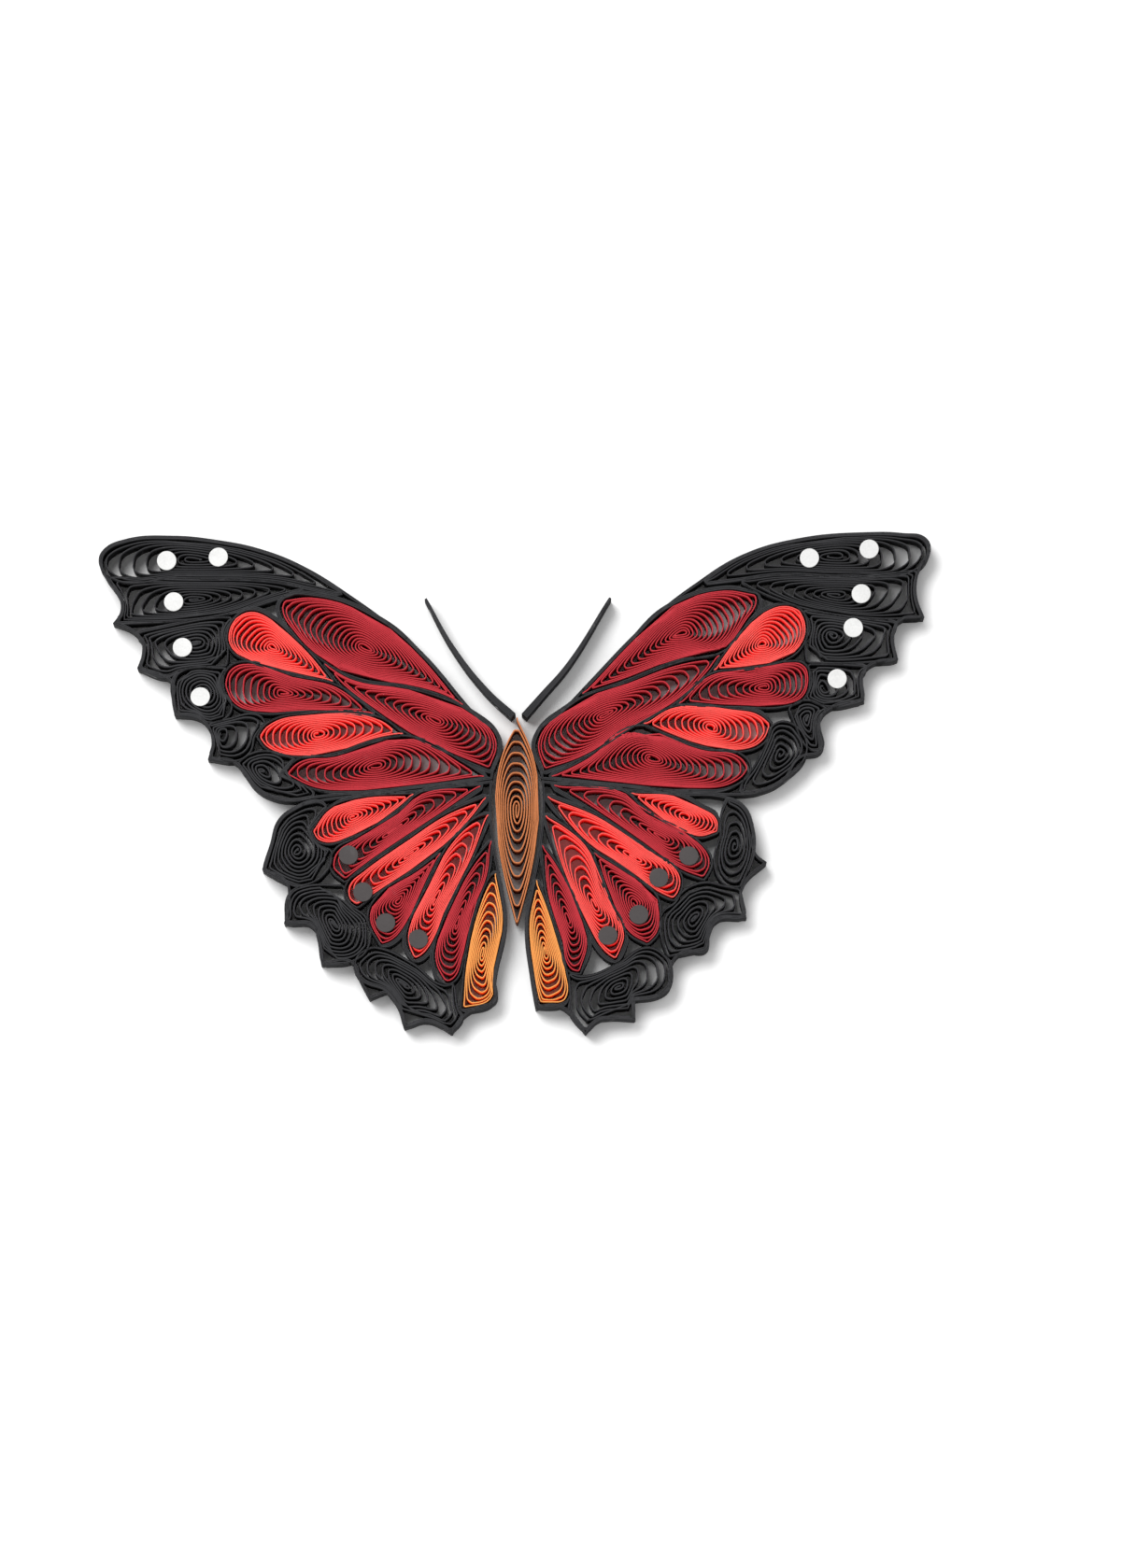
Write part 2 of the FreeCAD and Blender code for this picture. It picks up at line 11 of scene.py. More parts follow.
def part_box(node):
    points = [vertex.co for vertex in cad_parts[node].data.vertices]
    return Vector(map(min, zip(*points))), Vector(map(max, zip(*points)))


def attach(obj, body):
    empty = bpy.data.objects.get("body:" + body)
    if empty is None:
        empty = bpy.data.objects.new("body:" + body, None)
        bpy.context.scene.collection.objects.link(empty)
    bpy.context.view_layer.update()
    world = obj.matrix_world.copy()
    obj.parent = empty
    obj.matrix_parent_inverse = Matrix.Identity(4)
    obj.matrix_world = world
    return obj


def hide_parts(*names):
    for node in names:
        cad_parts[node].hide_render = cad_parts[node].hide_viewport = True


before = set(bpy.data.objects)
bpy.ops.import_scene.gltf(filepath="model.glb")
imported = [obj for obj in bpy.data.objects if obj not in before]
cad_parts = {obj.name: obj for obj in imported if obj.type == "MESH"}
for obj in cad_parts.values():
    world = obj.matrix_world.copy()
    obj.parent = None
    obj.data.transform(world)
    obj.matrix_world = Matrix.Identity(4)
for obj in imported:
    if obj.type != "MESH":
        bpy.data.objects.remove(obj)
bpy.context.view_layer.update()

# Quilled paper butterfly, dressed over its CAD frame. Metres, +Z up, +Y towards the head.
# Every coil is wound again with finer turns, inside the cell that the frame gives it.
# The black web becomes the separate strips that are glued round each coil.

bl_info = {
    "name": "Quilled Paper Butterfly",
    "version": (1, 0, 0),
    "blender": (4, 5, 0),
    "location": "View3D > Sidebar > Quilling",
    "description": "Winds and glues the paper strips of a quilled butterfly",
    "category": "Object",
}

MM = 0.001
WINGS = ("left_fore", "left_hind", "right_fore", "right_hind")
PAPER_NAMES = ("coral", "crimson", "orange", "black")

# Where each coil is wound from, in millimetres.
EYES = {
    "left_fore_crimson_upper": (-16.3, 15.7), "left_fore_crimson_middle": (-8.6, 7.0),
    "left_fore_coral_upper": (-26.8, 15.7), "left_fore_crimson_narrow": (-25.8, 10.6),
    "left_fore_coral_lower": (-21.9, 5.7), "left_fore_crimson_lower": (-15.5, 2.2),
    "left_fore_black_tip": (-36.0, 25.3), "left_fore_black_second": (-35.8, 20.7),
    "left_fore_black_third": (-34.7, 16.1), "left_fore_black_fourth": (-34.6, 11.0),
    "left_fore_black_fifth": (-31.6, 6.6), "left_fore_black_low": (-28.3, 1.4),
    "left_hind_coral_first": (-18.1, -3.4), "left_hind_crimson_first": (-13.9, -5.1),
    "left_hind_coral_second": (-11.7, -7.9), "left_hind_crimson_short": (-12.9, -12.8),
    "left_hind_coral_third": (-8.9, -13.1), "left_hind_crimson_second": (-6.2, -15.7),
    "left_hind_orange": (-3.7, -18.8), "left_hind_black_outer": (-24.2, -7.6),
    "left_hind_black_middle": (-19.7, -15.6), "left_hind_black_inner": (-11.7, -22.0),
    "right_fore_crimson_upper": (18.3, 17.0), "right_fore_crimson_middle": (9.5, 7.8),
    "right_fore_coral_upper": (27.1, 15.9), "right_fore_crimson_narrow": (27.7, 11.2),
    "right_fore_coral_lower": (21.7, 6.5), "right_fore_crimson_lower": (15.2, 2.5),
    "right_fore_black_tip": (35.6, 25.6), "right_fore_black_second": (35.4, 21.3),
    "right_fore_black_third": (34.6, 17.1), "right_fore_black_fourth": (34.0, 9.9),
    "right_fore_black_fifth": (32.1, 7.6), "right_fore_black_low": (29.6, 3.9),
    "right_hind_coral_first": (19.0, -3.7), "right_hind_crimson_first": (16.7, -5.8),
    "right_hind_coral_second": (13.4, -8.6), "right_hind_crimson_short": (13.4, -13.1),
    "right_hind_coral_third": (8.9, -13.6), "right_hind_crimson_second": (5.6, -15.2),
    "right_hind_orange": (3.2, -18.8), "right_hind_black_outer": (24.4, -6.9),
    "right_hind_black_middle": (19.2, -14.6), "right_hind_black_inner": (11.2, -21.9),
}


# Sizes and colours that a user may change

class PaperSettings(bpy.types.PropertyGroup):
    strip_height: FloatProperty(
        name="Strip height", description="Width of the strips, which stand on edge",
        default=3.0 * MM, min=0.5 * MM, unit="LENGTH", subtype="DISTANCE", precision=5)
    thickness: FloatProperty(
        name="Paper thickness", description="Thickness of one strip",
        default=0.115 * MM, min=0.05 * MM, unit="LENGTH", subtype="DISTANCE", precision=6)
    colour_pitch: FloatProperty(
        name="Pressed pitch", description="From turn to turn where a coloured coil is pressed",
        default=0.132 * MM, min=0.05 * MM, unit="LENGTH", subtype="DISTANCE", precision=6)
    black_pitch: FloatProperty(
        name="Black pressed pitch", description="From turn to turn where a black coil is pressed",
        default=0.25 * MM, min=0.05 * MM, unit="LENGTH", subtype="DISTANCE", precision=6)
    looseness: FloatProperty(
        name="Looseness", description="How much looser the turns lie at the eye than at the wall",
        default=0.16, min=0.0, max=0.9, subtype="FACTOR")
    ease: FloatProperty(
        name="Ease", description="How much further apart the turns of a wide coil lie",
        default=0.45, min=0.0, max=1.0, subtype="FACTOR")
    crowding: FloatProperty(
        name="Crowding", description="How much closer the turns end near the eye than near a tip",
        default=1.05, min=0.5, max=3.0)
    core: FloatProperty(
        name="Core", description="Size of the last turn beside the first",
        default=0.06, min=0.0, max=0.9, subtype="FACTOR")
    turn_points: IntProperty(
        name="Points in a turn", description="How finely each turn is drawn",
        default=72, min=12, max=400)
    unevenness: FloatProperty(
        name="Unevenness", description="How far a strip's upper edge may lie below its neighbour's",
        default=0.07 * MM, min=0.0, unit="LENGTH", subtype="DISTANCE", precision=6)


class ColourSettings(bpy.types.PropertyGroup):
    coral: FloatVectorProperty(
        name="Coral", description="Paper of the bright coils", subtype="COLOR",
        default=(1.0, 0.108, 0.094), min=0.0, max=1.0)
    crimson: FloatVectorProperty(
        name="Crimson", description="Paper of the dark red coils", subtype="COLOR",
        default=(0.55, 0.036, 0.05), min=0.0, max=1.0)
    orange: FloatVectorProperty(
        name="Orange", description="Paper of the two tail coils", subtype="COLOR",
        default=(1.0, 0.39, 0.10), min=0.0, max=1.0)
    copper: FloatVectorProperty(
        name="Copper", description="Paper of the body", subtype="COLOR",
        default=(0.62, 0.21, 0.078), min=0.0, max=1.0)
    black: FloatVectorProperty(
        name="Black", description="Paper of the web and the dark coils", subtype="COLOR",
        default=(0.04, 0.04, 0.043), min=0.0, max=1.0)
    white: FloatVectorProperty(
        name="White", description="Paper of the white dots", subtype="COLOR",
        default=(0.77, 0.77, 0.76), min=0.0, max=1.0)
    grey: FloatVectorProperty(
        name="Grey", description="Paper of the grey dots", subtype="COLOR",
        default=(0.078, 0.07, 0.07), min=0.0, max=1.0)


class StageSettings(bpy.types.PropertyGroup):
    floor: FloatVectorProperty(
        name="Floor", description="Colour of the floor", subtype="COLOR",
        default=(0.94, 0.94, 0.94), min=0.0, max=1.0)
    key_power: FloatProperty(
        name="Key light", description="Power of the soft lamp at the upper left",
        default=5.6, min=0.0, unit="POWER")
    sky_strength: FloatProperty(
        name="Sky", description="Strength of the even light from all round",
        default=0.45, min=0.0, subtype="FACTOR")
    camera_tilt: FloatProperty(
        name="Camera tilt", description="How far the view leans back from straight down",
        default=math.radians(8.0), unit="ROTATION", subtype="ANGLE")
    camera_distance: FloatProperty(
        name="Camera distance", description="From the camera to the middle of the picture",
        default=0.9, min=0.1, unit="LENGTH", subtype="DISTANCE")
    view_height: FloatProperty(
        name="View height", description="Height of what the camera sees",
        default=172.6 * MM, min=10 * MM, unit="LENGTH", subtype="DISTANCE")


# Helpers for node trees

def add(tree, kind, inputs=None, **settings):
    """Add a node, set it up, and fill its inputs with values or with other sockets."""
    node = tree.nodes.new(kind)
    for name, value in settings.items():
        setattr(node, name, value)
    for name, value in (inputs or {}).items():
        if isinstance(value, bpy.types.NodeSocket):
            tree.links.new(value, node.inputs[name])
        else:
            node.inputs[name].default_value = value
    return node


def maths(tree, operation, *values):
    """The result of a Math node."""
    return add(tree, "ShaderNodeMath", dict(enumerate(values)), operation=operation).outputs[0]


def vectors(tree, operation, *values):
    """The result of a Vector Math node."""
    return add(tree, "ShaderNodeVectorMath", dict(enumerate(values)), operation=operation).outputs[0]


def new_tree(name, kind, inputs, outputs):
    """A node group with named sockets, given as (name, type) pairs."""
    tree = bpy.data.node_groups.new(name, kind)
    for label, socket_type in inputs:
        tree.interface.new_socket(label, in_out="INPUT", socket_type=socket_type)
    for label, socket_type in outputs:
        tree.interface.new_socket(label, in_out="OUTPUT", socket_type=socket_type)
    return tree, tree.nodes.new("NodeGroupInput").outputs, tree.nodes.new("NodeGroupOutput").inputs


# Geometry node trees

# How fast the height of the strips' upper edges changes from place to place, per metre.
EDGE_NOISE_SCALE = 900.0

# How square a turn is: 1 is an ellipse, and less is fuller at its corners.
ROUNDNESS_AT_WALL = 0.4
ROUNDNESS_AT_EYE = 0.95

# How soon the turns leave the true wall for the rounded one. Less than 1 is sooner.
ROUNDING_ONSET = 0.7

# In thicknesses: the first turn's distance from the wall, and the last one's from the middle.
FIRST_TURN_INSET = 0.6
LEAST_ROOM = 0.55


def smooth_outline_tree():
    """Turns a loop of edges into a smooth curve that keeps its marked corners sharp."""
    tree, given, result = new_tree(
        "Smooth outline", "GeometryNodeTree",
        [("Outline", "NodeSocketGeometry")], [("Curve", "NodeSocketGeometry")])
    curve = add(tree, "GeometryNodeMeshToCurve", {"Mesh": given["Outline"]}).outputs[0]
    curve = add(tree, "GeometryNodeCurveSplineType", {"Curve": curve}, spline_type="BEZIER").outputs[0]
    curve = add(tree, "GeometryNodeCurveSetHandles", {"Curve": curve},
                handle_type="AUTO", mode={"LEFT", "RIGHT"}).outputs[0]
    sharp = add(tree, "GeometryNodeInputNamedAttribute", {"Name": "sharp"}, data_type="BOOLEAN")
    curve = add(tree, "GeometryNodeCurveSetHandles", {"Curve": curve, "Selection": sharp.outputs[0]},
                handle_type="VECTOR", mode={"LEFT", "RIGHT"}).outputs[0]
    tree.links.new(curve, result["Curve"])
    return tree


def standing_strip(tree, curve, given):
    """Sweeps an upright strip along a curve, and ends the tree."""
    noise = add(tree, "ShaderNodeTexNoise", {"Scale": EDGE_NOISE_SCALE, "Detail": 1.0}).outputs[0]
    sunk = maths(tree, "MULTIPLY", noise, given["Unevenness"])
    highest = maths(tree, "MULTIPLY", maths(tree, "ADD", given["Height"], given["Unevenness"]), 0.5)
    lift = add(tree, "ShaderNodeCombineXYZ", {"Z": maths(tree, "SUBTRACT", highest, sunk)}).outputs[0]
    curve = add(tree, "GeometryNodeSetPosition", {"Geometry": curve, "Offset": lift}).outputs[0]
    curve = add(tree, "GeometryNodeSetCurveNormal", {"Curve": curve}, mode="Z_UP").outputs[0]
    profile = add(tree, "GeometryNodeCurvePrimitiveQuadrilateral",
                  {"Width": given["Thickness"],
                   "Height": maths(tree, "SUBTRACT", given["Height"], given["Unevenness"])}).outputs[0]
    strip = add(tree, "GeometryNodeCurveToMesh",
                {"Curve": curve, "Profile Curve": profile, "Fill Caps": True}).outputs[0]
    strip = add(tree, "GeometryNodeRealizeInstances", {"Geometry": strip}).outputs[0]
    strip = add(tree, "GeometryNodeSetMaterial", {"Geometry": strip, "Material": given["Paper"]})
    return strip.outputs[0]


def smooth_walls(tree, given, smooth_outline, is_left):
    """One wall of a cell as two curves: true to the frame, and rounded off."""
    marked = add(tree, "GeometryNodeInputNamedAttribute", {"Name": "left"}, data_type="BOOLEAN")
    parted = add(tree, "GeometryNodeSeparateGeometry",
                 {"Geometry": given["Walls"], "Selection": marked.outputs[0]}, domain="POINT")
    outline = add(tree, "GeometryNodeGroup", node_tree=smooth_outline)
    tree.links.new(parted.outputs["Selection" if is_left else "Inverted"], outline.inputs["Outline"])
    wall = add(tree, "GeometryNodeResampleCurve",
               {"Curve": outline.outputs[0], "Count": given["Turn points"]}, mode="COUNT").outputs[0]
    rounder = add(tree, "GeometryNodeBlurAttribute", data_type="FLOAT_VECTOR")
    place = add(tree, "GeometryNodeInputPosition").outputs[0]
    tree.links.new(place, [socket for socket in rounder.inputs if socket.enabled][0])
    tree.links.new(given["Rounding"], rounder.inputs["Iterations"])
    softened = [socket for socket in rounder.outputs if socket.enabled][0]
    rounded = add(tree, "GeometryNodeSetPosition", {"Geometry": wall, "Position": softened}).outputs[0]
    return wall, rounded


def on_wall(tree, walls, station, blend):
    """A point of a wall, between its true and its rounded curve."""
    places = []
    for wall in walls:
        sample = add(tree, "GeometryNodeSampleCurve", {"Curves": wall, "Factor": station}, mode="FACTOR")
        places.append(sample.outputs["Position"])
    return add(tree, "ShaderNodeMix", {0: blend, 4: places[0], 5: places[1]}, data_type="VECTOR").outputs[1]


def rounded_power(tree, value, exponent):
    """A power of a number that keeps its sign."""
    power = maths(tree, "POWER", maths(tree, "ABSOLUTE", value), exponent)
    return maths(tree, "MULTIPLY", power, maths(tree, "SIGN", value))


def coil_tree(smooth_outline):
    """Winds one strip inwards between the two walls of a cell.

    Station 0 is the cell's tip and station 1 its far end. Along the walls the turns are
    pressed on each other, and along the middle each turn ends well short of the last.
    """
    tree, given, result = new_tree(
        "Wound coil", "GeometryNodeTree",
        [("Walls", "NodeSocketGeometry"), ("Eye station", "NodeSocketFloat"),
         ("Half width", "NodeSocketFloat"), ("Turns", "NodeSocketFloat"), ("Core", "NodeSocketFloat"),
         ("Looseness", "NodeSocketFloat"), ("Crowding", "NodeSocketFloat"),
         ("Turn points", "NodeSocketInt"), ("Rounding", "NodeSocketInt"),
         ("Thickness", "NodeSocketFloat"), ("Height", "NodeSocketFloat"),
         ("Unevenness", "NodeSocketFloat"), ("Paper", "NodeSocketMaterial")],
        [("Coil", "NodeSocketGeometry")])
    left = smooth_walls(tree, given, smooth_outline, True)
    right = smooth_walls(tree, given, smooth_outline, False)
    steps = maths(tree, "MULTIPLY", given["Turns"], given["Turn points"])
    line = add(tree, "GeometryNodeCurvePrimitiveLine").outputs[0]
    line = add(tree, "GeometryNodeResampleCurve", {"Curve": line, "Count": steps}, mode="COUNT").outputs[0]
    along = add(tree, "GeometryNodeSplineParameter").outputs["Factor"]

    # The turn's direction, squarer at the wall than at the eye.
    angle = maths(tree, "MULTIPLY", maths(tree, "MULTIPLY", along, given["Turns"]), 2 * math.pi)
    angle = maths(tree, "ADD", angle, math.pi)
    exponent = add(tree, "ShaderNodeMapRange",
                   {"Value": along, "To Min": ROUNDNESS_AT_WALL, "To Max": ROUNDNESS_AT_EYE}).outputs[0]
    lengthwise = rounded_power(tree, maths(tree, "COSINE", angle), exponent)
    sideways = rounded_power(tree, maths(tree, "SINE", angle), exponent)

    # The station, which each turn takes nearer to the eye's.
    open_share = maths(tree, "SUBTRACT", 1.0, given["Core"])
    unwound = maths(tree, "POWER", maths(tree, "SUBTRACT", 1.0, along), given["Crowding"])
    reach = maths(tree, "ADD", given["Core"], maths(tree, "MULTIPLY", unwound, open_share))
    onward = maths(tree, "GREATER_THAN", lengthwise, 0.0)
    more = maths(tree, "SUBTRACT", 1.0, maths(tree, "MULTIPLY", given["Eye station"], 2.0))
    side_length = maths(tree, "ADD", given["Eye station"], maths(tree, "MULTIPLY", onward, more))
    moved = maths(tree, "MULTIPLY", maths(tree, "MULTIPLY", lengthwise, reach), side_length)
    station = maths(tree, "ADD", given["Eye station"], moved)

    # The place between the walls, a pitch further in with each turn.
    blend = maths(tree, "POWER", along, ROUNDING_ONSET)
    left_place = on_wall(tree, left, station, blend)
    right_place = on_wall(tree, right, station, blend)
    middle = vectors(tree, "SCALE", vectors(tree, "ADD", left_place, right_place))
    middle.node.inputs["Scale"].default_value = 0.5
    across = vectors(tree, "SCALE", vectors(tree, "SUBTRACT", left_place, right_place))
    across.node.inputs["Scale"].default_value = 0.5
    half = add(tree, "ShaderNodeVectorMath", {0: across}, operation="LENGTH").outputs["Value"]
    tight = maths(tree, "MULTIPLY", along, maths(tree, "SUBTRACT", 1.0, given["Looseness"]))
    loose = maths(tree, "MULTIPLY", maths(tree, "MULTIPLY", along, along), given["Looseness"])
    pressed = maths(tree, "MULTIPLY", maths(tree, "ADD", tight, loose), given["Half width"])
    pressed = maths(tree, "MULTIPLY", pressed, open_share)
    inset = maths(tree, "MULTIPLY", given["Thickness"], FIRST_TURN_INSET)
    pressed = maths(tree, "ADD", pressed, inset)
    room = maths(tree, "SUBTRACT", half, pressed)
    room = maths(tree, "MAXIMUM", room, maths(tree, "MULTIPLY", given["Thickness"], LEAST_ROOM))
    room = maths(tree, "MULTIPLY", room, sideways)
    aside = vectors(tree, "SCALE", vectors(tree, "NORMALIZE", across))
    tree.links.new(room, aside.node.inputs["Scale"])
    spot = vectors(tree, "ADD", middle, aside)
    coil = add(tree, "GeometryNodeSetPosition", {"Geometry": line, "Position": spot}).outputs[0]
    tree.links.new(standing_strip(tree, coil, given), result["Coil"])
    return tree


def laminate_tree(smooth_outline):
    """Lays several strips side by side along outlines, each one further out if there is room."""
    tree, given, result = new_tree(
        "Laminated strips", "GeometryNodeTree",
        [("Outline", "NodeSocketGeometry"), ("Layers", "NodeSocketInt"), ("First", "NodeSocketFloat"),
         ("Pitch", "NodeSocketFloat"), ("End share", "NodeSocketFloat"), ("Step", "NodeSocketFloat"),
         ("Thickness", "NodeSocketFloat"), ("Height", "NodeSocketFloat"),
         ("Unevenness", "NodeSocketFloat"), ("Paper", "NodeSocketMaterial")],
        [("Strips", "NodeSocketGeometry")])
    outline = add(tree, "GeometryNodeGroup", node_tree=smooth_outline)
    tree.links.new(given["Outline"], outline.inputs["Outline"])
    path = add(tree, "GeometryNodeResampleCurve",
               {"Curve": outline.outputs[0], "Length": given["Step"]}, mode="LENGTH").outputs[0]
    copies = add(tree, "GeometryNodeDuplicateElements",
                 {"Geometry": path, "Amount": given["Layers"]}, domain="SPLINE")
    tangent = add(tree, "GeometryNodeInputTangent").outputs[0]
    outward = vectors(tree, "CROSS_PRODUCT", tangent, (0.0, 0.0, 1.0))
    apart = maths(tree, "MULTIPLY", copies.outputs["Duplicate Index"], given["Pitch"])
    apart = maths(tree, "ADD", apart, given["First"])
    room = add(tree, "GeometryNodeInputNamedAttribute", {"Name": "room"}, data_type="FLOAT").outputs[0]
    apart = maths(tree, "MINIMUM", apart, maths(tree, "SUBTRACT", room, given["Thickness"]))
    along = add(tree, "GeometryNodeSplineParameter").outputs["Factor"]
    taper = add(tree, "ShaderNodeMapRange", {"Value": along, "To Min": 1.0, "To Max": given["End share"]})
    apart = maths(tree, "MULTIPLY", apart, taper.outputs[0])
    offset = add(tree, "ShaderNodeVectorMath", {0: outward, "Scale": apart}, operation="SCALE").outputs[0]
    moved = add(tree, "GeometryNodeSetPosition",
                {"Geometry": copies.outputs["Geometry"], "Offset": offset}).outputs[0]
    tree.links.new(standing_strip(tree, moved, given), result["Strips"])
    return tree


# Outlines, read from the frame

# A corner that turns more than this stays sharp.
SHARP_BEND = math.radians(72)


def top_outlines(node):
    """The closed outlines round a node's top face, anticlockwise, the longest first."""
    copy = bmesh.new()
    copy.from_mesh(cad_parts[node].data)
    bmesh.ops.remove_doubles(copy, verts=copy.verts, dist=MM / 1000)
    top = max(vertex.co.z for vertex in copy.verts) - MM / 100
    following = {}
    for face in copy.faces:
        if min(vertex.co.z for vertex in face.verts) < top:
            continue
        for loop in face.loops:
            others = [other for other in loop.edge.link_faces if other is not face]
            if all(min(vertex.co.z for vertex in other.verts) < top for other in others):
                following[loop.vert] = loop.link_loop_next.vert
    outlines = []
    while following:
        start, vertex = following.popitem()
        outline = [start.co.to_2d()]
        while vertex is not start:
            outline.append(vertex.co.to_2d())
            vertex = following.pop(vertex)
        outlines.append(outline)
    copy.free()
    outlines.sort(key=outline_length, reverse=True)
    return [outline if outline_area(outline) > 0 else outline[::-1] for outline in outlines]


def outline_length(outline):
    """The length all round an outline."""
    return sum((end - start).length for start, end in sides(outline))


def outline_area(outline):
    """The area inside an outline, positive where it runs anticlockwise."""
    return sum(start.cross(end) for start, end in sides(outline)) / 2


def sides(outline):
    """The sides of a closed outline, each as its two corners."""
    return list(zip(outline, outline[1:] + outline[:1]))


def bend(outline, index):
    """How sharply an outline turns at one of its corners."""
    before = outline[index] - outline[index - 1]
    after = outline[(index + 1) % len(outline)] - outline[index]
    return abs(before.angle_signed(after))


def two_walls(outline):
    """The outline parted into its two walls, both from its tip to its far end."""
    tip = max(range(len(outline)), key=lambda index: bend(outline, index))
    ring = outline[tip:] + outline[:tip]
    far = max(range(len(ring)), key=lambda index: (ring[index] - ring[0]).length)
    return ring[:far + 1], [ring[0]] + ring[:far - 1:-1]


def point_along(wall, share):
    """The point at a share of a wall's length."""
    left_over = share * sum((end - start).length for start, end in zip(wall, wall[1:]))
    for start, end in zip(wall, wall[1:]):
        length = (end - start).length
        if left_over <= length:
            return start.lerp(end, left_over / length)
        left_over -= length
    return wall[-1]


def eye_station(walls, eye):
    """The share of the walls' length beside the eye, and half the cell's width there."""
    def distance(share):
        middle = (point_along(walls[0], share) + point_along(walls[1], share)) / 2
        return (middle - eye).length

    station = min((step / 100 for step in range(15, 86)), key=distance)
    width = (point_along(walls[0], station) - point_along(walls[1], station)).length
    return station, width / 2


def middle_of(outline):
    """The middle of the box round an outline."""
    xs = [corner.x for corner in outline]
    ys = [corner.y for corner in outline]
    return Vector(((min(xs) + max(xs)) / 2, (min(ys) + max(ys)) / 2))


def cell_outline(coil, openings):
    """The opening that a coil of the frame lies in."""
    low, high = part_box(coil)
    middle = Vector(((low[0] + high[0]) / 2, (low[1] + high[1]) / 2))
    return min(openings, key=lambda outline: (middle_of(outline) - middle).length)


def distances(outline, others):
    """How far each corner of an outline is from the nearest of other outlines."""
    points = [start.lerp(end, step / 4) for other in others for start, end in sides(other)
              for step in range(4)]
    nearest = KDTree(len(points))
    for index, point in enumerate(points):
        nearest.insert(point.to_3d(), index)
    nearest.balance()
    return [nearest.find(corner.to_3d())[2] for corner in outline]


def room_round(outline, rim, openings, thickness):
    """How far strips may lie from each corner: halfway to the next cell, and not past the rim."""
    gaps = distances(outline, [other for other in openings if other is not outline])
    margins = distances(outline, [rim])
    return [max(min((gap + thickness) / 2, margin), 1.5 * thickness)
            for gap, margin in zip(gaps, margins)]


def edge_loops(name, outlines, closed=True, rooms=None):
    """A mesh of loose edges along outlines, with a mark on each sharp corner.

    Of two open outlines, the first is marked as the left one. Each point keeps the room
    that strips have beside it, if that is given.
    """
    places, edges, sharp, left, room = [], [], [], [], []
    for number, outline in enumerate(outlines):
        first = len(places)
        count = len(outline)
        places += [(corner.x, corner.y, 0.0) for corner in outline]
        edges += [(first + step, first + step + 1) for step in range(count - 1)]
        if closed:
            edges.append((first + count - 1, first))
        inner = range(count) if closed else range(1, count - 1)
        sharp += [index in inner and bend(outline, index) > SHARP_BEND for index in range(count)]
        left += [number == 0] * count
        room += rooms[number] if rooms else [1.0] * count
    mesh = bpy.data.meshes.new(name)
    mesh.from_pydata(places, edges, [])
    mesh.attributes.new("sharp", "BOOLEAN", "POINT").data.foreach_set("value", sharp)
    mesh.attributes.new("left", "BOOLEAN", "POINT").data.foreach_set("value", left)
    mesh.attributes.new("room", "FLOAT", "POINT").data.foreach_set("value", room)
    return mesh


def grow_piece(name, mesh, tree, values):
    """Run a geometry tree on a mesh, and keep its result as a plain mesh object."""
    host = bpy.data.objects.new(name + "_path", mesh)
    bpy.context.scene.collection.objects.link(host)
    modifier = host.modifiers.new("Strips", "NODES")
    modifier.node_group = tree
    for item in tree.interface.items_tree:
        if item.name in values:
            modifier[item.identifier] = values[item.name]
    evaluated = host.evaluated_get(bpy.context.evaluated_depsgraph_get())
    result = bpy.data.meshes.new_from_object(evaluated)
    result.name = name
    host.modifiers.clear()
    bpy.data.objects.remove(host)
    bpy.data.meshes.remove(mesh)
    piece = bpy.data.objects.new(name, result)
    bpy.context.scene.collection.objects.link(piece)
    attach(piece, "root")
    return piece


# Paper

# Sizes of the patterns in the paper: turns of the noise per metre.
FIBRE_SCALE = 5200.0
CLOUD_SCALE = 420.0
GLUE_SCALE = 700.0

PAPER_ROUGHNESS = 0.78
GLUE_SMOOTHNESS = 0.5
FIBRE_BUMP = 0.25
FIBRE_DEPTH = 0.01 * MM
PAPER_SPECULAR = 0.2


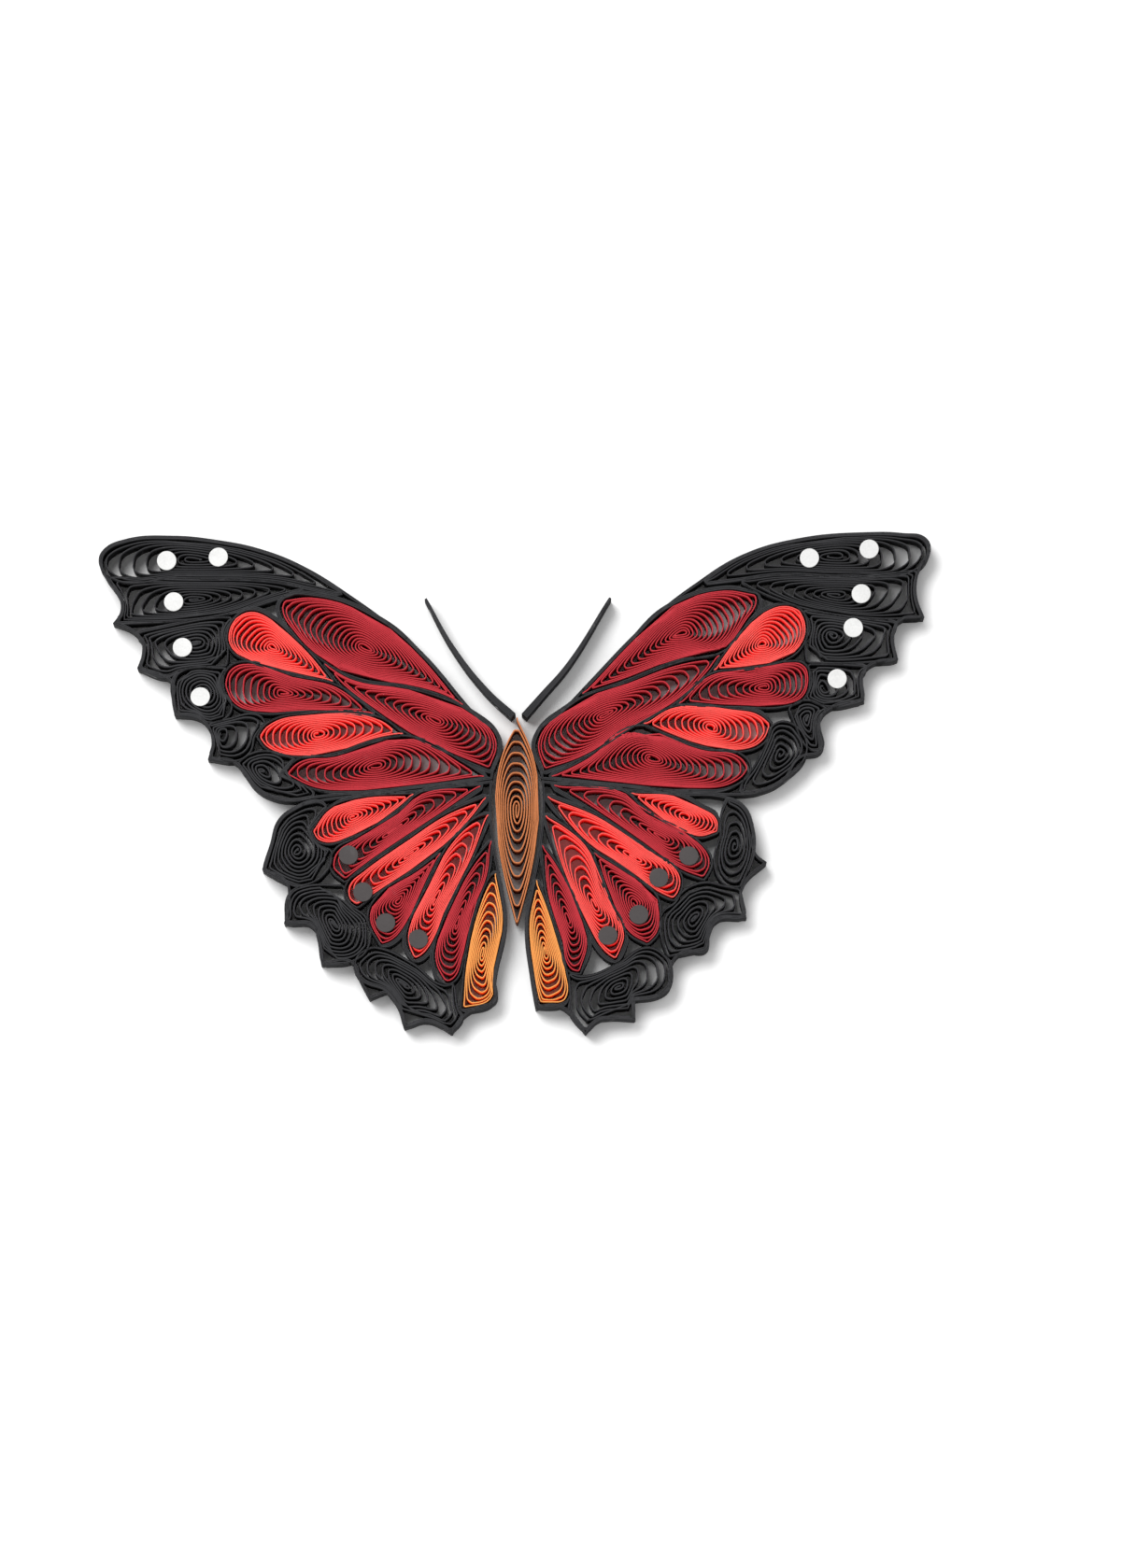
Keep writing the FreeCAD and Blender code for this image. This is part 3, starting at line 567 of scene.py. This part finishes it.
def fibre_group():
    """Fibres, the cut edge kept paler than the faces that carry painted shade, and specks of dry glue, as
    masks over a strip of paper.
    """
    tree, given, result = new_tree(
        "Paper surface", "ShaderNodeTree",
        [("Colour", "NodeSocketColor"), ("Edge colour", "NodeSocketColor"), ("Mottle", "NodeSocketFloat"),
         ("Glue", "NodeSocketFloat")],
        [("Colour", "NodeSocketColor"), ("Roughness", "NodeSocketFloat"), ("Height", "NodeSocketFloat")])
    place = add(tree, "ShaderNodeTexCoord").outputs["Object"]
    fibres = add(tree, "ShaderNodeTexNoise",
                 {"Vector": place, "Scale": FIBRE_SCALE, "Detail": 3.0}).outputs[0]
    clouds = add(tree, "ShaderNodeTexNoise",
                 {"Vector": place, "Scale": CLOUD_SCALE, "Detail": 2.0}).outputs[0]
    normal = add(tree, "ShaderNodeNewGeometry").outputs["Normal"]
    upward = add(tree, "ShaderNodeSeparateXYZ", {0: normal}).outputs["Z"]
    # Faces that point up take the edge colour; the side faces keep the colour darkened by painted shade.
    on_edge = add(tree, "ShaderNodeMapRange", {"Value": upward, "From Min": 0.4, "From Max": 0.8}).outputs[0]
    colour = add(tree, "ShaderNodeMix", {0: on_edge, 6: given["Colour"], 7: given["Edge colour"]},
                 data_type="RGBA").outputs[2]
    mixed = maths(tree, "ADD", maths(tree, "MULTIPLY", fibres, 0.5), maths(tree, "MULTIPLY", clouds, 0.5))
    centred = maths(tree, "MULTIPLY", maths(tree, "SUBTRACT", mixed, 0.5), given["Mottle"])
    bright = maths(tree, "ADD", 1.0, centred)
    colour = add(tree, "ShaderNodeVectorMath", {0: colour, "Scale": bright}, operation="SCALE").outputs[0]
    blobs = add(tree, "ShaderNodeTexNoise", {"Vector": place, "Scale": GLUE_SCALE, "Detail": 0.0}).outputs[0]
    glue = add(tree, "ShaderNodeMapRange", {"Value": blobs, "From Min": 0.72, "From Max": 0.78}).outputs[0]
    glue = maths(tree, "MULTIPLY", glue, given["Glue"])
    rough = maths(tree, "SUBTRACT", PAPER_ROUGHNESS, maths(tree, "MULTIPLY", glue, GLUE_SMOOTHNESS))
    tree.links.new(colour, result["Colour"])
    tree.links.new(rough, result["Roughness"])
    tree.links.new(fibres, result["Height"])
    return tree


def paper_material(name, wall, edge, mottle=0.5, glue=1.0):
    """Matt paper: its faces in a colour darkened by painted shade, and its cut edges in a lighter one."""
    surface_group = bpy.data.node_groups.get("Paper surface") or fibre_group()
    material = bpy.data.materials.new(name)
    material.use_nodes = True
    tree = material.node_tree
    shader = tree.nodes["Principled BSDF"]
    surface = add(tree, "ShaderNodeGroup", node_tree=surface_group)
    surface.inputs["Colour"].default_value = (*wall, 1.0)
    surface.inputs["Edge colour"].default_value = (*edge, 1.0)
    surface.inputs["Mottle"].default_value = mottle
    surface.inputs["Glue"].default_value = glue
    bump = add(tree, "ShaderNodeBump", {"Height": surface.outputs["Height"], "Strength": FIBRE_BUMP,
                                        "Distance": FIBRE_DEPTH})
    tree.links.new(surface.outputs["Colour"], shader.inputs["Base Color"])
    tree.links.new(surface.outputs["Roughness"], shader.inputs["Roughness"])
    tree.links.new(bump.outputs[0], shader.inputs["Normal"])
    shader.inputs["Specular IOR Level"].default_value = PAPER_SPECULAR
    return material


# Painted shade: how much darker than its cut edges the faces of each paper are drawn, in red, green and
# blue. It stands for the shade down in the narrow gaps between the turns; only the copper's brown faces
# under gilded edges are partly that paper's own colour.
FACE_PAINTED_SHADE = {
    "coral": (1.0, 0.55, 0.55), "crimson": (0.7, 0.6, 0.6), "orange": (1.0, 0.55, 0.42),
    "copper": (0.36, 0.25, 0.2), "black": (0.6, 0.6, 0.6), "white": (1.0, 1.0, 1.0),
    "grey": (1.0, 1.0, 1.0),
}

# Names end in "_strips", because the frame has its own plain materials that end in "_paper".


def paper(name):
    """The material of one of the papers, made on its first use."""
    made = bpy.data.materials.get(name + "_strips")
    if made:
        return made
    edge = tuple(getattr(bpy.context.scene.butterfly_colours, name))
    # The faces are darkened here by the painted shade of the gaps between the turns.
    wall = tuple(channel * shade for channel, shade in zip(edge, FACE_PAINTED_SHADE[name]))
    return paper_material(name + "_strips", wall, edge)


# Pieces

# Past this half width, in millimetres, a coil lies looser, and fully so 1 mm further on.
NARROW_HALF_WIDTH = 1.1
LOOSER_WHEN_WIDE = 1.4
MORE_CROWDED_WHEN_WIDE = 0.35

# How often a wall is blurred for the inner turns.
ROUNDING = 30
BLACK_ROUNDING = 200

# The black coils of the tip are wound more tightly, and the others from thicker paper.
TIP_PITCH_SHARE = 0.66
BLACK_THICKNESS_SHARE = 1.4

# The strips round each coil, and the ones along the rim of a wing, counted inwards.
WRAP_LAYERS = 3
WRAP_START = 0.115 * MM
WRAP_SPREAD = 1.2
WRAP_STEP = 0.3 * MM
RIM_LAYERS = 2
GLUED_PITCH_SHARE = 1.1


def strip_values(material):
    """The inputs that all the trees share."""
    settings = bpy.context.scene.butterfly_paper
    return {"Thickness": settings.thickness, "Height": settings.strip_height,
            "Unevenness": settings.unevenness, "Paper": material}


def wind_coil(node, walls, eye, pitch, thickness, colour, rounding=ROUNDING):
    """Wind one coil between two walls, and let it stand for the frame's coil."""
    settings = bpy.context.scene.butterfly_paper
    station, half_width = eye_station(walls, eye)
    wide = min(max(half_width / MM - NARROW_HALF_WIDTH, 0.0), 1.0)
    pitch *= 1 + settings.ease * wide
    values = strip_values(paper(colour))
    values.update({
        "Eye station": station, "Half width": half_width, "Turns": half_width * (1 - settings.core) / pitch,
        "Core": settings.core, "Looseness": settings.looseness * (1 + LOOSER_WHEN_WIDE * wide),
        "Crowding": settings.crowding * (1 + MORE_CROWDED_WHEN_WIDE * wide),
        "Turn points": settings.turn_points, "Rounding": rounding, "Thickness": thickness,
    })
    tree = tree_named("Wound coil", coil_tree)
    piece = grow_piece(node + "_wound", edge_loops(node, walls, closed=False), tree, values)
    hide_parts(node)
    return piece


def tree_named(name, build):
    """A geometry tree, built on its first use."""
    found = bpy.data.node_groups.get(name)
    if found:
        return found
    outline = bpy.data.node_groups.get("Smooth outline") or smooth_outline_tree()
    return build(outline)


def paper_of(coil):
    """The paper that a coil's name tells of."""
    return next(name for name in PAPER_NAMES if "_" + name in coil)


def wind_wing(wing, wanted):
    """Wind the coils of one wing that are made of the wanted papers."""
    settings = bpy.context.scene.butterfly_paper
    openings = top_outlines(wing + "_frame")[1:]
    for coil, (x, y) in EYES.items():
        if not coil.startswith(wing) or paper_of(coil) not in wanted:
            continue
        walls = two_walls(cell_outline(coil, openings))
        eye = Vector((x, y)) * MM
        if paper_of(coil) != "black":
            wind_coil(coil, walls, eye, settings.colour_pitch, settings.thickness, paper_of(coil))
        elif coil.endswith(("tip", "second")):
            pitch = settings.black_pitch * TIP_PITCH_SHARE
            wind_coil(coil, walls, eye, pitch, settings.thickness, "black")
        else:
            thickness = settings.thickness * BLACK_THICKNESS_SHARE
            wind_coil(coil, walls, eye, settings.black_pitch, thickness, "black", BLACK_ROUNDING)


def wrap_wing(wing):
    """Lay black strips round each coil of a wing, and round the wing."""
    settings = bpy.context.scene.butterfly_paper
    rim, *openings = top_outlines(wing + "_frame")
    tree = tree_named("Laminated strips", laminate_tree)
    values = strip_values(paper("black"))
    pitch = settings.thickness * GLUED_PITCH_SHARE
    values.update({"Layers": WRAP_LAYERS, "First": WRAP_START, "Pitch": pitch * WRAP_SPREAD,
                   "End share": 1.0, "Step": WRAP_STEP})
    rooms = [room_round(opening, rim, openings, settings.thickness) for opening in openings]
    wraps = grow_piece(wing + "_wraps", edge_loops(wing, openings, rooms=rooms), tree, values)
    values.update({"Layers": RIM_LAYERS, "First": -pitch * RIM_LAYERS})
    edge = grow_piece(wing + "_edge", edge_loops(wing, [rim]), tree, values)
    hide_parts(wing + "_frame")
    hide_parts(wing + "_frame")


# Punched discs

DISC_RADIUS = 1.07 * MM
DISC_POINTS = 56
LARGEST_SQUASH = 0.03

# The rim from bottom to top, as shares of the radius and of the thickness.
DISC_PROFILE = ((0.97, 0.0), (1.0, 0.2), (1.0, 0.7), (0.985, 0.92), (0.95, 1.0))


def disc_places(node):
    """The middle of each disc of a group, in the plane."""
    copy = bmesh.new()
    copy.from_mesh(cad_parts[node].data)
    bmesh.ops.remove_doubles(copy, verts=copy.verts, dist=MM / 1000)
    left_over = dict.fromkeys(copy.verts)
    places = []
    while left_over:
        island, waiting = [], [left_over.popitem()[0]]
        while waiting:
            vertex = waiting.pop()
            island.append(vertex)
            for edge in vertex.link_edges:
                other = edge.other_vert(vertex)
                if other in left_over:
                    del left_over[other]
                    waiting.append(other)
        places.append(sum((vertex.co for vertex in island), Vector()) / len(island))
    copy.free()
    return sorted((place.to_2d() for place in places), key=tuple)


def punch_dots(node, colour):
    """Round discs with a slightly uneven rim, where the frame has them."""
    low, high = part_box(node)
    sheet = bmesh.new()
    generator = random.Random(node)
    for place in disc_places(node):
        rings = []
        squash = LARGEST_SQUASH * generator.random()
        turned = generator.random() * math.pi
        for share, level in DISC_PROFILE:
            ring = []
            for step in range(DISC_POINTS):
                angle = 2 * math.pi * step / DISC_POINTS
                radius = DISC_RADIUS * share * (1 - squash * math.cos(angle - turned) ** 2)
                z = low[2] + (high[2] - low[2]) * level
                ring.append(sheet.verts.new((place.x + radius * math.cos(angle),
                                             place.y + radius * math.sin(angle), z)))
            rings.append(ring)
        for lower, upper in zip(rings, rings[1:]):
            for step in range(DISC_POINTS):
                onward = (step + 1) % DISC_POINTS
                sheet.faces.new((lower[step], lower[onward], upper[onward], upper[step]))
        sheet.faces.new(rings[0][::-1])
        sheet.faces.new(rings[-1])
    mesh = bpy.data.meshes.new(node + "_punched")
    sheet.to_mesh(mesh)
    sheet.free()
    mesh.materials.append(paper(colour))
    piece = bpy.data.objects.new(node + "_punched", mesh)
    bpy.context.scene.collection.objects.link(piece)
    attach(piece, "root")
    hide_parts(node)


# Operators

class MadeInOneGo:
    """What all the operators share"""
    bl_options = {"REGISTER", "UNDO"}


class BUTTERFLY_OT_coloured_coils(MadeInOneGo, bpy.types.Operator):
    """Wind the coral, crimson and orange coils"""
    bl_idname = "butterfly.coloured_coils"
    bl_label = "Coloured Coils"

    def execute(self, context):
        for wing in WINGS:
            wind_wing(wing, ("coral", "crimson", "orange"))
        return {"FINISHED"}


class BUTTERFLY_OT_black_coils(MadeInOneGo, bpy.types.Operator):
    """Wind the black coils along the margins of the wings"""
    bl_idname = "butterfly.black_coils"
    bl_label = "Black Coils"

    def execute(self, context):
        for wing in WINGS:
            wind_wing(wing, ("black",))
        return {"FINISHED"}


class BUTTERFLY_OT_wraps(MadeInOneGo, bpy.types.Operator):
    """Lay the black strips round the coils and round each wing"""
    bl_idname = "butterfly.wraps"
    bl_label = "Black Wraps"

    def execute(self, context):
        for wing in WINGS:
            wrap_wing(wing)
        return {"FINISHED"}


BODY_MIDDLE = 0.2 * MM
BODY_WAIST = -2.5 * MM
BODY_HALF_WIDTH = 2.53 * MM
BODY_PITCH = 0.165 * MM
BODY_THICKNESS = 0.14 * MM

# How full the body stays towards its ends.
HEAD_FULLNESS = 2.4
TAIL_FULLNESS = 1.6

# Where its outline has points, as shares of the way from the waist to an end.
BODY_SHARES = (0.25, 0.5, 0.72, 0.9, 1.0)


class BUTTERFLY_OT_body(MadeInOneGo, bpy.types.Operator):
    """Wind the copper body"""
    bl_idname = "butterfly.body"
    bl_label = "Body"

    def execute(self, context):
        low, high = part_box("body_coil")
        flank = []
        for share in BODY_SHARES[::-1] + (0.0,):
            half_width = BODY_HALF_WIDTH * (1 - share ** HEAD_FULLNESS)
            flank.append((half_width, BODY_WAIST + share * (high[1] - BODY_WAIST)))
        for share in BODY_SHARES:
            half_width = BODY_HALF_WIDTH * (1 - share ** TAIL_FULLNESS)
            flank.append((half_width, BODY_WAIST - share * (BODY_WAIST - low[1])))
        walls = [[Vector((BODY_MIDDLE + side * x, y)) for x, y in flank] for side in (-1, 1)]
        eye = Vector((BODY_MIDDLE, BODY_WAIST))
        wind_coil("body_coil", walls, eye, BODY_PITCH, BODY_THICKNESS, "copper")
        return {"FINISHED"}


# Points along each antenna from root to tip, in millimetres.
ANTENNAE = {
    "left_antenna": [(-0.2, 7.7), (-3.0, 10.3), (-6.8, 15.2), (-9.9, 20.8)],
    "right_antenna": [(1.0, 7.7), (2.9, 9.9), (5.8, 13.3), (10.5, 20.9)],
}


ANTENNA_LAYERS = 5
ANTENNA_PITCH = 0.155 * MM
ANTENNA_TIP_SHARE = 0.25


class BUTTERFLY_OT_antennae(MadeInOneGo, bpy.types.Operator):
    """Lay the two tapering antennae"""
    bl_idname = "butterfly.antennae"
    bl_label = "Antennae"

    def execute(self, context):
        tree = tree_named("Laminated strips", laminate_tree)
        values = strip_values(paper("black"))
        values.update({"Layers": ANTENNA_LAYERS, "First": -ANTENNA_PITCH * (ANTENNA_LAYERS - 1) / 2,
                       "Pitch": ANTENNA_PITCH, "End share": ANTENNA_TIP_SHARE, "Step": WRAP_STEP})
        for node, points in ANTENNAE.items():
            path = [Vector(point) * MM for point in points]
            piece = grow_piece(node + "_strips", edge_loops(node, [path], closed=False), tree, values)
            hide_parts(node)
        return {"FINISHED"}


class BUTTERFLY_OT_dots(MadeInOneGo, bpy.types.Operator):
    """Finish the punched paper dots"""
    bl_idname = "butterfly.dots"
    bl_label = "Dots"

    def execute(self, context):
        for node in sorted(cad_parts):
            if node.endswith("_dots"):
                punch_dots(node, "white" if "white" in node else "grey")
        return {"FINISHED"}


class BUTTERFLY_OT_stage(MadeInOneGo, bpy.types.Operator):
    """Set out the floor, the lamp, the sky and the camera"""
    bl_idname = "butterfly.stage"
    bl_label = "Stage"

    def execute(self, context):
        settings = context.scene.butterfly_stage
        make_floor(settings)
        make_lights(settings)
        make_camera(settings)
        context.scene.view_settings.view_transform = "Standard"
        return {"FINISHED"}


# Stage

FLOOR_HALF_WIDTH = 0.6

# The floor glows a little for the camera, which paints the outer part of the butterfly's shadow paler,
# except within this distance of the paper, where the missing glow is painted shade in the gaps and along the
# paper.
SHADE_REACH = 2.5 * MM
FLOOR_GLOW = 0.3

LAMP_SIZE = 0.5
LAMP_PLACE = (-0.28, 0.32, 0.64)
PICTURE_MIDDLE = (5.0 * MM, 0.1 * MM, 3.0 * MM)


def make_floor(settings):
    """A pale floor that keeps the butterfly's shadow, with painted shade near the paper where its glow for
    the camera fades.
    """
    half = FLOOR_HALF_WIDTH
    mesh = bpy.data.meshes.new("floor")
    mesh.from_pydata([(-half, -half, 0), (half, -half, 0), (half, half, 0), (-half, half, 0)], [],
                     [(0, 1, 2, 3)])
    floor = bpy.data.objects.new("floor", mesh)
    bpy.context.scene.collection.objects.link(floor)
    material = bpy.data.materials.new("floor_card")
    material.use_nodes = True
    tree = material.node_tree
    shader = tree.nodes["Principled BSDF"]
    shader.inputs["Base Color"].default_value = (*settings.floor, 1.0)
    shader.inputs["Roughness"].default_value = 0.9
    seen = add(tree, "ShaderNodeLightPath").outputs["Is Camera Ray"]
    clear = add(tree, "ShaderNodeAmbientOcclusion", {"Distance": SHADE_REACH}, samples=8).outputs["AO"]
    # The glow fades with the occlusion, as painted shade in the gaps and along the paper.
    lift = maths(tree, "MULTIPLY", maths(tree, "POWER", clear, 2.0), FLOOR_GLOW)
    shader.inputs["Emission Color"].default_value = (1.0, 1.0, 1.0, 1.0)
    tree.links.new(maths(tree, "MULTIPLY", seen, lift), shader.inputs["Emission Strength"])
    mesh.materials.append(material)


def make_lights(settings):
    """One soft lamp at the upper left, and an even white sky."""
    lamp = bpy.data.lights.new("key", "AREA")
    lamp.shape = "DISK"
    lamp.size = LAMP_SIZE
    lamp.energy = settings.key_power
    key = bpy.data.objects.new("key", lamp)
    key.location = LAMP_PLACE
    key.rotation_euler = (-Vector(key.location)).to_track_quat("-Z", "Y").to_euler()
    bpy.context.scene.collection.objects.link(key)
    world = bpy.data.worlds.new("studio")
    bpy.context.scene.world = world
    world.use_nodes = True
    tree = world.node_tree
    sky = tree.nodes["Background"]
    path = add(tree, "ShaderNodeLightPath").outputs
    shown = maths(tree, "MAXIMUM", path["Is Camera Ray"], path["Is Transmission Ray"])
    strength = add(tree, "ShaderNodeMapRange",
                   {"Value": shown, "To Min": settings.sky_strength, "To Max": 1.0}).outputs[0]
    sky.inputs["Color"].default_value = (1.0, 1.0, 1.0, 1.0)
    tree.links.new(strength, sky.inputs["Strength"])


def make_camera(settings):
    """A camera that looks down and leans back a little, from the tail's side."""
    data = bpy.data.cameras.new("camera")
    data.sensor_fit = "VERTICAL"
    data.sensor_height = 24.0
    data.lens = data.sensor_height * settings.camera_distance / settings.view_height
    data.clip_start = 0.01
    data.clip_end = 10.0
    camera = bpy.data.objects.new("camera", data)
    tilt = settings.camera_tilt
    middle = Vector(PICTURE_MIDDLE)
    away = Vector((0.0, -math.sin(tilt), math.cos(tilt))) * settings.camera_distance
    camera.location = middle + away
    camera.rotation_euler = (tilt, 0.0, 0.0)
    bpy.context.scene.collection.objects.link(camera)
    bpy.context.scene.camera = camera


OPERATORS = (
    BUTTERFLY_OT_coloured_coils, BUTTERFLY_OT_black_coils, BUTTERFLY_OT_wraps, BUTTERFLY_OT_body,
    BUTTERFLY_OT_antennae, BUTTERFLY_OT_dots, BUTTERFLY_OT_stage,
)


class BUTTERFLY_PT_quilling(bpy.types.Panel):
    """The sizes, colours and operators in the sidebar"""
    bl_label = "Quilled Butterfly"
    bl_space_type = "VIEW_3D"
    bl_region_type = "UI"
    bl_category = "Quilling"

    def draw(self, context):
        for group in (context.scene.butterfly_paper, context.scene.butterfly_colours,
                      context.scene.butterfly_stage):
            box = self.layout.box()
            for name in group.__annotations__:
                box.prop(group, name)
        for operator in OPERATORS:
            self.layout.operator(operator.bl_idname)


CLASSES = (PaperSettings, ColourSettings, StageSettings) + OPERATORS + (BUTTERFLY_PT_quilling,)


def register():
    for item in CLASSES:
        bpy.utils.register_class(item)
    bpy.types.Scene.butterfly_paper = PointerProperty(type=PaperSettings)
    bpy.types.Scene.butterfly_colours = PointerProperty(type=ColourSettings)
    bpy.types.Scene.butterfly_stage = PointerProperty(type=StageSettings)


def unregister():
    del bpy.types.Scene.butterfly_stage
    del bpy.types.Scene.butterfly_colours
    del bpy.types.Scene.butterfly_paper
    for item in reversed(CLASSES):
        bpy.utils.unregister_class(item)


def main():
    register()
    bpy.ops.butterfly.coloured_coils()
    bpy.ops.butterfly.black_coils()
    bpy.ops.butterfly.wraps()
    bpy.ops.butterfly.body()
    bpy.ops.butterfly.antennae()
    bpy.ops.butterfly.dots()
    bpy.ops.butterfly.stage()


if __name__ == "__main__":
    main()
